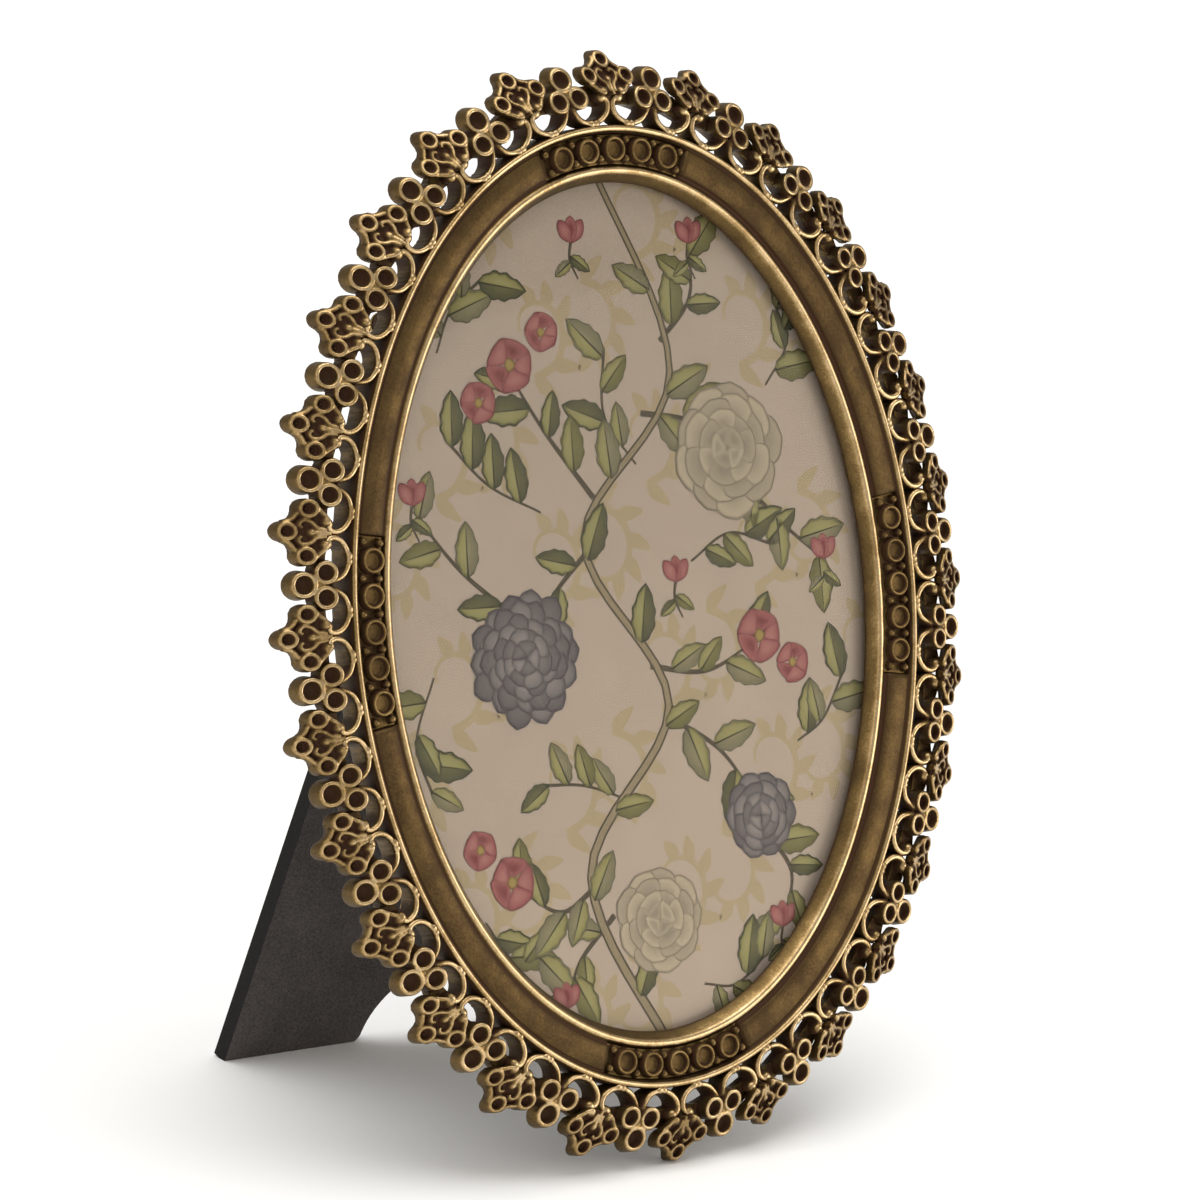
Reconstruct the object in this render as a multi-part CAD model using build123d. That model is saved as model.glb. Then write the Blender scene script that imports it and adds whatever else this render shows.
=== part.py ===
from build123d import *
import bisect
import math
import os

# Everything is drawn in the frame's own plane: X to the right, Y up the oval and Z out of the front,
# with Z zero at the crest of the oval rim. The last section leans it back and stands it on its tip.

# the standard oval picture, which sets the size of the frame, and the step of the lace around it
picture_half_width = 63.5
picture_half_height = 88.9
picture_clearance = 0.5
repeat_pitch = 18.35
arc_steps = 2880
seam_angle = 25.0

# cross-section of the moulding: distances out from the rim crest (negative is inwards) and heights
rim_bead_radius = 0.7
rim_groove_out = -1.5
rim_groove_depth = 1.3
band_inner_out = -6.3
band_edge_depth = 0.8
band_crown_depth = 0.4
lip_groove_out = -6.9
lip_groove_depth = 1.9
lip_outer_out = -7.3
lip_outer_depth = 1.65
lip_crest_out = -8.2
lip_crest_depth = 1.05
lip_inner_out = -9.0
lip_inner_depth = 1.75
opening_out = -10.4
opening_depth = 3.6
rebate_depth = 4.0
rebate_out = -4.6
moulding_depth = 7.5

# pockets in the band and the strips of ring cups that fill them
cups_per_panel = 5
cup_pitch = 7.0
cup_radius = 2.4
cup_wall = 0.6
cup_out = -4.1
cup_rise = 0.15
cup_hollow = 1.6
pocket_outer_out = -0.95
pocket_inner_out = -7.1
pocket_depth = 2.9
pocket_end_margin = 5.0
pocket_end_bulge = 0.7
panel_plate = 0.7
panel_clearance = 0.05
bead_radius = 0.62
bead_outer_out = -2.3
bead_inner_out = -5.75
bead_rise = -0.25

# trefoil links of the border
inner_ring_out = 6.5
inner_ring_spacing = 4.7
inner_ring_radius = 2.3
inner_ring_wall = 0.8
outer_ring_out = 10.6
outer_ring_radius = 2.65
outer_ring_wall = 0.95
trefoil_slope = 17.0
trefoil_rise = 0.1
trefoil_thickness = 3.0
trefoil_hollow = 1.7
scroll_width = 0.95
scroll_rise = -0.35
scroll_thickness = 3.2
scroll_tip_gap = 0.03
scroll_start_shares = (0.55, 0.45)
scroll_drop_shares = (0.10, 0.34)
scroll_rim_shares = [(0.19, 1.15), (0.27, 1.0), (0.38, 1.7)]
scroll_curl_shares = [(0.48, 1.9), (0.72, 1.0), (0.92, 1.9), (0.92, 3.6)]
collar_along_share = 0.27
scroll_bead_radius = 0.75
collar_bead_radius = 0.6
collar_bead_spacing = 1.0
collar_out = 1.05
border_clearance = 0.02
stroke_steps = 10
wall_steps = 120

# pointed lace pieces between the links
point_apex_out = 16.1
point_corner_out = 10.3
point_corner_share = 0.338
point_heel_share = 0.304
point_base_out = 8.7
point_stem_out = 6.25
point_stem_width = 1.3
point_rounding = 1.0
point_slope = 30.0
point_hinge_out = 10.6
point_rise = -1.6
point_thickness = 1.9
point_relief = 0.55
point_cup_radius = 1.45
point_cup_wall = 0.6
point_cup_hollow = 0.9
point_cup_along = 3.85
point_cup_out = 10.8
apex_cup_out = 14.3
point_rib_width = 0.75
point_rib_run = [(0.4, 8.7), (1.15, 10.6), (1.6, 12.1), (0.8, 12.5)]
point_rib_end_radius = 0.45
point_leaf_run = [(1.75, 9.1), (2.2, 8.1), (2.2, 7.5)]
point_leaf_end_radius = 0.41
standing_land = 0.25

# what is held in the rebate
glass_thickness = 1.6
print_thickness = 0.3
card_thickness = 0.7
board_thickness = 2.6
board_clearance = 0.2
stack_gap = 0.01

# turn clips, their lugs and their screws
upper_clip_share = 0.13
lower_clip_share = 0.36
clip_out = -1.95
clip_length = 14.0
clip_width = 5.0
clip_corner_radius = 2.45
clip_thickness = 0.6
clip_gap = 0.03
lug_radius = 2.4
lug_above_board = 0.05
screw_radius = 1.0
screw_hole_radius = 1.05
screw_bite = 4.0
screw_seat_clearance = 0.01
screw_head_radius = 2.0
screw_head_height = 1.0
screw_slot_width = 0.5
screw_slot_depth = 0.45

# leg hinge
lean_angle = 15.0
hinge_height = 48.0
leg_spread = 29.6
knuckle_radius = 1.6
knuckle_bore = 0.95
pin_radius = 0.9
pin_head_radius = 1.4
pin_head = 0.5
knuckle_stand_off = 0.25
hinge_width = 44.0
knuckle_count = 5
knuckle_gap = 0.2
leaf_thickness = 0.7
leaf_length = 15.0
leaf_stand_off = 0.15
rivet_radius = 1.2
rivet_head_radius = 2.3
rivet_head = 0.9
rivet_head_round = 0.63
rivet_along_share = 0.36
rivet_row = 10.0
rivet_bite = 1.8

# easel leg
leg_thickness = 4.0
leg_top_half_width = 35.5
leg_foot_half_width = 50.5
leg_shoulder = 1.6
leg_notch_margin = 1.2
leg_notch_drop = 2.3
leg_arch_half_width = 17.5
leg_arch_height = 17.0
leg_corner_radius = 3.0
leg_foot_land = 0.5

# The rim is an ellipse around the picture. Its length is summed in short chords so that the ornaments
# can be set out at equal steps along it, with a lace point at its top and its bottom.
rim_half_width = picture_half_width + picture_clearance - rebate_out
rim_half_height = picture_half_height + picture_clearance - rebate_out


def rim_point(angle):
    return Vector(-rim_half_width * math.sin(angle), rim_half_height * math.cos(angle))


def rim_lengths():
    lengths = [0.0]
    for step in range(arc_steps):
        here = rim_point(2 * math.pi * step / arc_steps)
        ahead = rim_point(2 * math.pi * (step + 1) / arc_steps)
        lengths.append(lengths[-1] + (ahead - here).length)
    return lengths


lengths = rim_lengths()
rim_length = lengths[-1]
repeat_count = 2 * round(rim_length / (2 * repeat_pitch))
pitch = rim_length / repeat_count


def rim_axes(along):
    """Point, tangent and outward normal at a distance along the rim from its top, counter-clockwise."""
    along = along % rim_length
    step = min(bisect.bisect_right(lengths, along), arc_steps) - 1
    share = (along - lengths[step]) / (lengths[step + 1] - lengths[step])
    angle = 2 * math.pi * (step + share) / arc_steps
    tangent = Vector(-rim_half_width * math.cos(angle), -rim_half_height * math.sin(angle)).normalized()
    normal = Vector(tangent.Y, -tangent.X)
    return rim_point(angle), tangent, normal


def set_out(along, out, aside=0.0):
    """Place in the plane: out along the normal at a distance along the rim, then aside from it."""
    point, tangent, normal = rim_axes(along)
    return point + normal * out + tangent * aside


def rim_place(along, out, height):
    """Location with X along the tangent and Y outwards, at a place set out from the rim."""
    point, tangent, normal = rim_axes(along)
    origin = point + normal * out + Vector(0, 0, height)
    return Plane(origin=origin, x_dir=-tangent, z_dir=(0, 0, 1)).location


def ribbon(points, width):
    """Flat strip of even width along a smooth curve through points."""
    curve = Spline(*points)
    left = []
    right = []
    for step in range(stroke_steps + 1):
        share = step / stroke_steps
        heading = curve % share
        aside = Vector(-heading.Y, heading.X) * (width / 2)
        left.append(curve @ share + aside)
        right.append(curve @ share - aside)
    right.reverse()
    sides = [Spline(*left), Line(left[-1], right[0]), Spline(*right), Line(right[-1], left[0])]
    return make_face(Curve() + sides)


def disc(place, radius):
    return Pos(place.X, place.Y) * Circle(radius)


def band_area(centre, half_along, outer_out, inner_out, bulge):
    """Area between two offsets of the rim, with ends that bulge into it."""
    outer = []
    inner = []
    for step in range(-stroke_steps, stroke_steps + 1):
        along = centre + half_along * step / stroke_steps
        outer.append(set_out(along, outer_out))
        inner.append(set_out(along, inner_out))
    inner.reverse()
    middle_out = (outer_out + inner_out) / 2
    far_end = ThreePointArc(outer[-1], set_out(centre + half_along - bulge, middle_out), inner[0])
    near_end = ThreePointArc(inner[-1], set_out(centre - half_along + bulge, middle_out), outer[0])
    return make_face(Curve() + [Spline(*outer), far_end, Spline(*inner), near_end])


def raised(area, low, high):
    """Area drawn in the frame's plane, raised into a prism from one height to another."""
    return Pos(0, 0, low) * extrude(area, amount=high - low)


# Oval moulding: one cast ring with a rim bead, a flat band, a lip and a rebate behind.
section_lines = [
    Polyline((rim_bead_radius, -moulding_depth), (rim_bead_radius, -rim_bead_radius)),
    ThreePointArc((rim_bead_radius, -rim_bead_radius), (0, 0), (-rim_bead_radius, -rim_bead_radius)),
    Polyline(
        (-rim_bead_radius, -rim_bead_radius),
        (pocket_outer_out, -rim_groove_depth),
        (rim_groove_out, -rim_groove_depth),
        (rim_groove_out, -band_edge_depth),
    ),
    ThreePointArc(
        (rim_groove_out, -band_edge_depth),
        ((rim_groove_out + band_inner_out) / 2, -band_crown_depth),
        (band_inner_out, -band_edge_depth),
    ),
    Polyline(
        (band_inner_out, -band_edge_depth),
        (band_inner_out, -lip_groove_depth),
        (lip_groove_out, -lip_groove_depth),
        (lip_outer_out, -lip_outer_depth),
    ),
    ThreePointArc(
        (lip_outer_out, -lip_outer_depth),
        (lip_crest_out, -lip_crest_depth),
        (lip_inner_out, -lip_inner_depth),
    ),
    Polyline(
        (lip_inner_out, -lip_inner_depth),
        (opening_out, -opening_depth),
        (opening_out, -rebate_depth),
        (rebate_out, -rebate_depth),
        (rebate_out, -moulding_depth),
        (rim_bead_radius, -moulding_depth),
    ),
]
section = make_face(Curve() + section_lines)
seam_end = seam_angle + 360
rim_curve = Edge.make_ellipse(rim_half_width, rim_half_height, start_angle=seam_angle, end_angle=seam_end)
seam_heading = rim_curve % 0
seam_outward = Vector(seam_heading.Y, -seam_heading.X)
section_plane = Plane(origin=rim_curve @ 0, x_dir=seam_outward, z_dir=-seam_heading)
moulding = sweep(section_plane * section, path=Wire([rim_curve]))

pocket_half = (cups_per_panel - 1) * cup_pitch / 2 + pocket_end_margin
quarter = rim_length / 4
panel_centres = {
    "top_cup_panel": 0.0,
    "left_cup_panel": quarter,
    "bottom_cup_panel": 2 * quarter,
    "right_cup_panel": 3 * quarter,
}
for centre in panel_centres.values():
    pocket = band_area(centre, pocket_half, pocket_outer_out, pocket_inner_out, pocket_end_bulge)
    moulding -= raised(pocket, -pocket_depth, rim_bead_radius)

# Lugs on the moulding's back carry the turn clips at the height of the back board.
board_front = -(rebate_depth + glass_thickness + print_thickness + card_thickness + 4 * stack_gap)
board_back = board_front - board_thickness
lug_end = board_back - lug_above_board
clip_places = {
    "turn_clip_upper_left": upper_clip_share,
    "turn_clip_lower_left": lower_clip_share,
    "turn_clip_lower_right": 1 - lower_clip_share,
    "turn_clip_upper_right": 1 - upper_clip_share,
}
for share in clip_places.values():
    lug = disc(set_out(share * rim_length, clip_out), lug_radius)
    moulding += raised(lug, lug_end, -moulding_depth)
    hole = disc(set_out(share * rim_length, clip_out), screw_radius + screw_seat_clearance)
    moulding -= raised(hole, lug_end, lug_end + screw_bite)

# Cup panels: a plate that fits a pocket, ring cups along it, and pairs of bead posts between the cups.


def cup_panel(centre):
    half_along = pocket_half - panel_clearance
    outer_out = pocket_outer_out - panel_clearance
    inner_out = pocket_inner_out + panel_clearance
    plate = band_area(centre, half_along, outer_out, inner_out, pocket_end_bulge)
    plate_top = panel_plate - pocket_depth
    panel = raised(plate, -pocket_depth, plate_top)
    for number in range(cups_per_panel):
        along = centre + (number - (cups_per_panel - 1) / 2) * cup_pitch
        place = set_out(along, cup_out)
        panel += raised(disc(place, cup_radius), plate_top, cup_rise)
        panel -= raised(disc(place, cup_radius - cup_wall), cup_rise - cup_hollow, cup_rise)
    for number in range(cups_per_panel + 1):
        along = centre + (number - cups_per_panel / 2) * cup_pitch
        for out in (bead_outer_out, bead_inner_out):
            place = set_out(along, out)
            post = raised(disc(place, bead_radius), plate_top, bead_rise - bead_radius)
            dome = Pos(place.X, place.Y, bead_rise - bead_radius) * Sphere(bead_radius)
            panel += post + dome
    return panel


panels = {name: cup_panel(centre) for name, centre in panel_centres.items()}

# Trefoil links: three ring cups and two scrolls that reach the rim through a pair of collar beads.
wall_out = rim_bead_radius + border_clearance
wall_marks = [set_out(rim_length * step / wall_steps, wall_out) for step in range(wall_steps)]
rim_wall = make_face(Curve() + Spline(*wall_marks, periodic=True))


def sloping_slab(along, out, height, slope, above, below):
    """Slab that falls away outwards from a line at a height, to trim prisms to a sloping face."""
    reach = 4 * pitch
    slab = Pos(0, 0, (above - below) / 2) * Box(reach, reach, above + below)
    return rim_place(along, out, height) * Rot(-slope, 0, 0) * slab


def scroll_area(centre, hand):
    """Plan of one scroll, from the back of the trefoil past the rim to its curled end at the point."""
    tip = centre + hand * pitch / 2
    edge = scroll_tip_gap + scroll_width / 2
    ring_share, width_share = scroll_start_shares
    start_out = inner_ring_out - inner_ring_radius * ring_share
    points = [set_out(centre, start_out, hand * scroll_width * width_share)]
    along_share, out_share = scroll_drop_shares
    points.append(set_out(centre + hand * pitch * along_share, inner_ring_out * out_share))
    for along_share, out_share in scroll_rim_shares:
        points.append(set_out(centre + hand * pitch * along_share, collar_out * out_share))
    for out_share, edge_share in scroll_curl_shares:
        points.append(set_out(tip, inner_ring_out * out_share, -hand * edge * edge_share))
    area = ribbon(points, scroll_width) + disc(points[-1], scroll_bead_radius)
    for side in (-1, 1):
        along = centre + hand * pitch * collar_along_share + side * collar_bead_spacing / 2
        area += disc(set_out(along, collar_out), collar_bead_radius)
        area += disc(set_out(along, collar_out - collar_bead_radius), collar_bead_radius)
    return area


def trefoil_link(centre):
    rings = [
        (set_out(centre, outer_ring_out), outer_ring_radius, outer_ring_wall),
        (set_out(centre, inner_ring_out, inner_ring_spacing / 2), inner_ring_radius, inner_ring_wall),
        (set_out(centre, inner_ring_out, -inner_ring_spacing / 2), inner_ring_radius, inner_ring_wall),
    ]
    heart = disc((rings[0][0] + rings[1][0] + rings[2][0]) / 3, inner_ring_wall)
    plan = heart
    for place, radius, wall in rings:
        plan += disc(place, radius)
    top = inner_ring_radius * 2
    low = -trefoil_thickness * 4
    link = raised(plan, low, top)
    link &= sloping_slab(centre, inner_ring_out, trefoil_rise, trefoil_slope, 0, trefoil_thickness)
    for place, radius, wall in rings:
        fall = (place - rim_axes(centre)[0]).dot(rim_axes(centre)[2]) - inner_ring_out
        floor = trefoil_rise - fall * math.tan(math.radians(trefoil_slope)) - trefoil_hollow
        link -= raised(disc(place, radius - wall), floor, top)
    scrolls = scroll_area(centre, 1) + scroll_area(centre, -1)
    for place, radius, wall in rings:
        scrolls -= disc(place, radius - wall)
    scrolls -= rim_wall
    return link + raised(scrolls, scroll_rise - scroll_thickness, scroll_rise)


trefoils = [trefoil_link((number + 0.5) * pitch) for number in range(repeat_count)]

# Lace points: a sloping pointed plate with three small cups, ribs in the middle and a stem that stands
# between the curls of the two scrolls next to it. They are alike, so one is drawn and copied.


def lace_point():
    half_stem = point_stem_width / 2
    corner_along = pitch * point_corner_share
    heel_along = pitch * point_heel_share
    outline = Polyline(
        (0, point_apex_out),
        (corner_along, point_corner_out),
        (heel_along, point_base_out),
        (half_stem, point_base_out),
        (half_stem, point_stem_out),
        (-half_stem, point_stem_out),
        (-half_stem, point_base_out),
        (-heel_along, point_base_out),
        (-corner_along, point_corner_out),
        (0, point_apex_out),
    )
    plate = make_face(outline)
    outer_corners = [corner for corner in plate.vertices() if corner.Y > point_base_out - point_rounding]
    side_corners = [corner for corner in outer_corners if abs(corner.X) > half_stem * 2]
    plate = fillet(side_corners, point_rounding / 2)
    apex = [corner for corner in plate.vertices() if corner.Y > point_apex_out - point_rounding]
    plate = fillet(apex, point_rounding)
    cups = [
        Vector(0, apex_cup_out),
        Vector(point_cup_along, point_cup_out),
        Vector(-point_cup_along, point_cup_out),
    ]
    relief = disc(Vector(0, point_base_out), point_rib_width)
    for hand in (-1, 1):
        rib = [Vector(hand * along, out) for along, out in point_rib_run]
        relief += ribbon(rib, point_rib_width)
        relief += disc(rib[-1], point_rib_end_radius)
        leaf = [Vector(hand * along, out) for along, out in point_leaf_run]
        plate += ribbon(leaf, point_rib_width)
        plate += disc(leaf[-1], point_leaf_end_radius)
    for place in cups:
        relief += disc(place, point_cup_radius)
    high = point_apex_out
    leaning = Rot(-point_slope, 0, 0)
    base = leaning * Pos(0, 0, -point_thickness / 2) * Box(high * 2, high * 2, point_thickness)
    tall = point_thickness / 2 + point_relief
    middle = point_relief - tall / 2
    crest = leaning * Pos(0, 0, middle) * Box(high * 2, high * 2, tall)
    drop = Pos(0, point_hinge_out, point_rise)
    piece = raised(plate, -high, high) & (drop * base)
    piece += raised(relief, -high, high) & (drop * crest)
    for place in cups:
        fall = (place.Y - point_hinge_out) * math.tan(math.radians(point_slope))
        floor = point_rise - fall + point_relief - point_cup_hollow
        piece -= raised(disc(place, point_cup_radius - point_cup_wall), floor, high)
    return piece


point_pattern = lace_point()
points = [rim_place(number * pitch, 0, 0) * point_pattern for number in range(repeat_count)]

# Glass, print and card in the rebate, and the back board behind them.


def oval_sheet(half_width, half_height, front, thickness):
    return raised(Ellipse(half_width, half_height), front - thickness, front)


glass_front = -rebate_depth - stack_gap
print_front = glass_front - glass_thickness - stack_gap
card_front = print_front - print_thickness - stack_gap
glass = oval_sheet(picture_half_width, picture_half_height, glass_front, glass_thickness)
print_sheet = oval_sheet(picture_half_width, picture_half_height, print_front, print_thickness)
spacer_card = oval_sheet(picture_half_width, picture_half_height, card_front, card_thickness)
board_half_width = rim_half_width + rebate_out - board_clearance
board_half_height = rim_half_height + rebate_out - board_clearance
back_board = oval_sheet(board_half_width, board_half_height, board_front, board_thickness)

# Turn clips: flat tabs over the board's edge, each turning on a slotted screw in its lug.
clip_front = lug_end - clip_gap
clip_back = clip_front - clip_thickness
clips = {}
screws = []
for name, share in clip_places.items():
    along = share * rim_length
    place = rim_place(along, clip_out, 0)
    tab = RectangleRounded(clip_width, clip_length, clip_corner_radius)
    tab = Pos(0, (clip_width - clip_length) / 2) * tab - Circle(screw_hole_radius)
    clips[name] = place * raised(tab, clip_back, clip_front)
    head_front = clip_back - clip_gap
    head_back = head_front - screw_head_height
    screw = raised(Circle(screw_radius), head_front, lug_end + screw_bite - clip_gap)
    head = raised(Circle(screw_head_radius), head_back, head_front)
    slot_area = Rectangle(screw_head_radius * 3, screw_slot_width)
    slot = raised(slot_area, head_back, head_back + screw_slot_depth)
    screws.append(place * (screw + head - slot))

# Leg hinge: knuckles on a pin behind the board; one leaf lies on the board, the other turns with the leg.
axis_height = board_back - knuckle_stand_off - knuckle_radius
leaf_rear = board_back - leaf_thickness
knuckle_pitch = hinge_width / knuckle_count
axis_place = Pos(0, hinge_height, axis_height)
along_x = Rot(0, 90, 0)


def knuckle(number):
    middle = (number - (knuckle_count - 1) / 2) * knuckle_pitch
    barrel = Cylinder(knuckle_radius, knuckle_pitch - knuckle_gap)
    return Pos(middle, 0, 0) * along_x * barrel


def hinge_leaf(numbers, front, upward):
    """Leaf drawn about the hinge axis: its plate goes up or down from the axis, its front at a height."""
    middle = upward * leaf_length / 2
    blank = Box(hinge_width - knuckle_gap, leaf_length, leaf_thickness)
    plate = Pos(0, middle, front - leaf_thickness / 2) * blank
    for number in range(knuckle_count):
        if number not in numbers:
            offset = (number - (knuckle_count - 1) / 2) * knuckle_pitch
            room = 2 * (knuckle_radius + knuckle_stand_off)
            plate -= Pos(offset, 0, 0) * Box(knuckle_pitch + knuckle_gap, room, room)
    for number in numbers:
        plate += knuckle(number)
    plate -= along_x * Cylinder(knuckle_bore, hinge_width * 2)
    return plate


board_numbers = [number for number in range(knuckle_count) if number % 2 == 0]
leg_numbers = [number for number in range(knuckle_count) if number % 2 == 1]
board_leaf = axis_place * hinge_leaf(board_numbers, board_back - axis_height, 1)
pin = along_x * Cylinder(pin_radius, hinge_width + 2 * pin_head)
for hand in (-1, 1):
    pin += Pos(hand * (hinge_width + pin_head) / 2, 0, 0) * along_x * Cylinder(pin_head_radius, pin_head)
hinge_pin = axis_place * pin

rivet_columns = [-hinge_width * rivet_along_share, hinge_width * rivet_along_share]
board_rivets = []
for column in rivet_columns:
    spot = Pos(column, hinge_height + rivet_row, 0)
    board_leaf -= spot * raised(Circle(rivet_radius), leaf_rear, board_back)
    back_board -= spot * raised(Circle(rivet_radius), board_back, board_back + rivet_bite)
    rivet = raised(Circle(rivet_radius), leaf_rear, board_back + rivet_bite)
    head = raised(Circle(rivet_head_radius), leaf_rear - rivet_head, leaf_rear)
    head = fillet(head.edges().sort_by(Axis.Z)[:1], rivet_head_round)
    board_rivets.append(spot * (rivet + head))

# Easel leg, drawn folded flat about the hinge axis and then swung open. Its foot is cut to the table.


def to_world(shape):
    return Rot(90 - lean_angle, 0, 0) * shape


table_height = min(to_world(point).bounding_box().min.Z for point in points) + standing_land
lean = math.radians(lean_angle)
swing = math.radians(leg_spread)
axis_world = hinge_height * math.cos(lean) + axis_height * math.sin(lean)
leg_front = board_back - leaf_stand_off - leaf_thickness - axis_height
drop_to_table = axis_world - table_height + leg_foot_land
slant = swing - lean
leg_length = (drop_to_table - leg_front * math.sin(slant)) / math.cos(slant)

sides = Polyline(
    (-leg_top_half_width, leg_shoulder),
    (-leg_foot_half_width, -leg_length),
    (-leg_arch_half_width, -leg_length),
)
arch = ThreePointArc(
    (-leg_arch_half_width, -leg_length),
    (0, -leg_length + leg_arch_height),
    (leg_arch_half_width, -leg_length),
)
closing = Polyline(
    (leg_arch_half_width, -leg_length),
    (leg_foot_half_width, -leg_length),
    (leg_top_half_width, leg_shoulder),
    (-leg_top_half_width, leg_shoulder),
)
leg_area = make_face(Curve() + [sides, arch, closing])
leg_corners = leg_area.vertices()
arch_corners = [corner for corner in leg_corners if abs(abs(corner.X) - leg_arch_half_width) < knuckle_gap]
leg_area = fillet(arch_corners, leg_corner_radius)
notch_height = leg_shoulder + leg_notch_drop
notch_width = hinge_width + 2 * leg_notch_margin
notch = Pos(0, leg_shoulder - notch_height / 2) * Rectangle(notch_width, notch_height)
leg = raised(leg_area - notch, leg_front - leg_thickness, leg_front)
leg_leaf = hinge_leaf(leg_numbers, leg_front + leaf_thickness, -1)
leg_rivets = []
for column in rivet_columns:
    spot = Pos(column, -rivet_row, 0)
    leg_back = leg_front - leg_thickness
    leg_leaf -= spot * raised(Circle(rivet_radius), leg_front, leg_front + leaf_thickness)
    leg -= spot * raised(Circle(rivet_radius), leg_back, leg_front)
    rivet = raised(Circle(rivet_radius), leg_back, leg_front + leaf_thickness)
    head = raised(Circle(rivet_head_radius), leg_back - rivet_head, leg_back)
    head = fillet(head.edges().sort_by(Axis.Z)[:1], rivet_head_round)
    leg_rivets.append(spot * (rivet + head))
swung = axis_place * Rot(leg_spread, 0, 0)
leg = swung * leg
leg_leaf = swung * leg_leaf
leg_rivets = [swung * rivet for rivet in leg_rivets]

# Stand the frame up: lean it back, put the table at height zero and the middle of its box over the origin.
pieces = {
    "oval_moulding": [moulding],
    **{name: [panel] for name, panel in panels.items()},
    "border_trefoils": trefoils,
    "border_points": points,
    "glass_oval": [glass],
    "print_sheet": [print_sheet],
    "spacer_card": [spacer_card],
    "back_board": [back_board],
    "easel_leg": [leg],
    "hinge_board_leaf": [board_leaf],
    "hinge_leg_leaf": [leg_leaf],
    "hinge_pin": [hinge_pin],
    "board_rivets": board_rivets,
    "leg_rivets": leg_rivets,
    **{name: [clip] for name, clip in clips.items()},
    "clip_screws": screws,
}
table_side = 9 * rim_half_height
table_depth = 2 * rim_half_height
table = Pos(0, 0, table_height - table_depth / 2) * Box(table_side, table_side, table_depth)
standing = {}
for name, solids in pieces.items():
    standing[name] = [to_world(solid) for solid in solids]
lowest = repeat_count // 2
standing["border_points"][lowest] -= table
standing["easel_leg"][0] -= table
boxes = [solid.bounding_box() for solids in standing.values() for solid in solids]
low_y = min(box.min.Y for box in boxes)
high_y = max(box.max.Y for box in boxes)
place = Pos(0, -(low_y + high_y) / 2, -table_height)

os.makedirs("parts", exist_ok=True)
for name, solids in standing.items():
    bodies = [solid for shape in solids for solid in (place * shape).solids()]
    export_step(Compound(children=bodies) if len(bodies) > 1 else bodies[0], f"parts/{name}.step")
    print(name, len(bodies))
hinge_world = place * Pos(to_world(Pos(0, hinge_height, axis_height) * Vertex(0, 0, 0)).center())
print("hinge axis at", hinge_world.position)
for name, share in clip_places.items():
    spot = set_out(share * rim_length, clip_out)
    print(name, (place * to_world(Pos(spot.X, spot.Y, clip_front) * Vertex(0, 0, 0))).center())
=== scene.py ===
import math
import random

import bmesh
import bpy
import numpy as np
from mathutils import Matrix, Vector
from mathutils.bvhtree import BVHTree


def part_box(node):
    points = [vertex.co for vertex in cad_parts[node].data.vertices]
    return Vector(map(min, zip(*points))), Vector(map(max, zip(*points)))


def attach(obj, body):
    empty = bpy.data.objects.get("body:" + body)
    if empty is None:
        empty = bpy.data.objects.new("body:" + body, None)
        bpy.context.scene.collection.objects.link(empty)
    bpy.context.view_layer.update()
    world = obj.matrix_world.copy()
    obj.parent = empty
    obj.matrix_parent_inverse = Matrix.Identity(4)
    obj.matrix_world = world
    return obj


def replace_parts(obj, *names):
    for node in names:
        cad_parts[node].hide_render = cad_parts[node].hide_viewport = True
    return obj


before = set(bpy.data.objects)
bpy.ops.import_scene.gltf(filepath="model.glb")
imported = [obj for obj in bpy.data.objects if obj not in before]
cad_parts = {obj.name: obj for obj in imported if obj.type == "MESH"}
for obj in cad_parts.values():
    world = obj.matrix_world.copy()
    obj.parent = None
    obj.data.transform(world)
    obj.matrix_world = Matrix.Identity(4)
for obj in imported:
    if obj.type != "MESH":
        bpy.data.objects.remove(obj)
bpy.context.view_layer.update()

# Oval moulding: one ring cast in zinc alloy, with a rim bead, a crowned band, a rounded lip and a rebate
# behind. Four pockets in the band take the cup panels, and four lugs on the back take the clips' screws.
# Each corner of its section: how far out from the rim, its height and how dark it is, which holds patina
# in the hollows together with painted shade on the walls and in the pockets.
rim_half_width = 68.6
rim_half_height = 94.0
rim_steps = 2880
moulding_corners = [
    (0.7, -7.5, 0.5),
    (0.7, -0.9, 0.95),
    (0.5, -0.22, 0.2),
    (0.0, 0.0, 0.0),
    (-0.5, -0.22, 0.1),
    (-0.72, -0.6, 0.6),
    (-0.95, -0.95, 0.9),
    (-1.25, -0.95, 0.85),
    (-1.4, -0.7, 0.55),
    (-2.7, -0.5, 0.53),
    (-3.9, -0.4, 0.52),
    (-5.1, -0.5, 0.53),
    (-6.35, -0.75, 0.6),
    (-6.5, -1.5, 1.0),
    (-6.95, -1.6, 1.0),
    (-7.3, -1.45, 0.5),
    (-7.65, -1.15, 0.05),
    (-8.2, -1.05, 0.0),
    (-8.75, -1.3, 0.1),
    (-9.1, -1.85, 0.3),
    (-9.8, -2.8, 0.42),
    (-10.4, -3.6, 0.6),
    (-10.4, -4.0, 0.9),
    (-4.6, -4.0, 0.9),
    (-4.6, -7.5, 0.5),
]
pocket_corners = [6, 14]
pocket_depth = 2.9
pocket_outer_out = -0.95
pocket_inner_out = -7.1
pocket_half_length = 19.0
pocket_wall = 0.1
corner_softness = 0.3
corner_most_share = 0.3
ring_step = 1.1
rim_turn = np.linspace(0, 2 * np.pi, rim_steps + 1)
rim_x = -rim_half_width * np.sin(rim_turn)
rim_y = rim_half_height * np.cos(rim_turn)
rim_run = np.concatenate([[0], np.cumsum(np.hypot(np.diff(rim_x), np.diff(rim_y)))])
rim_length = float(rim_run[-1])


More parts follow.
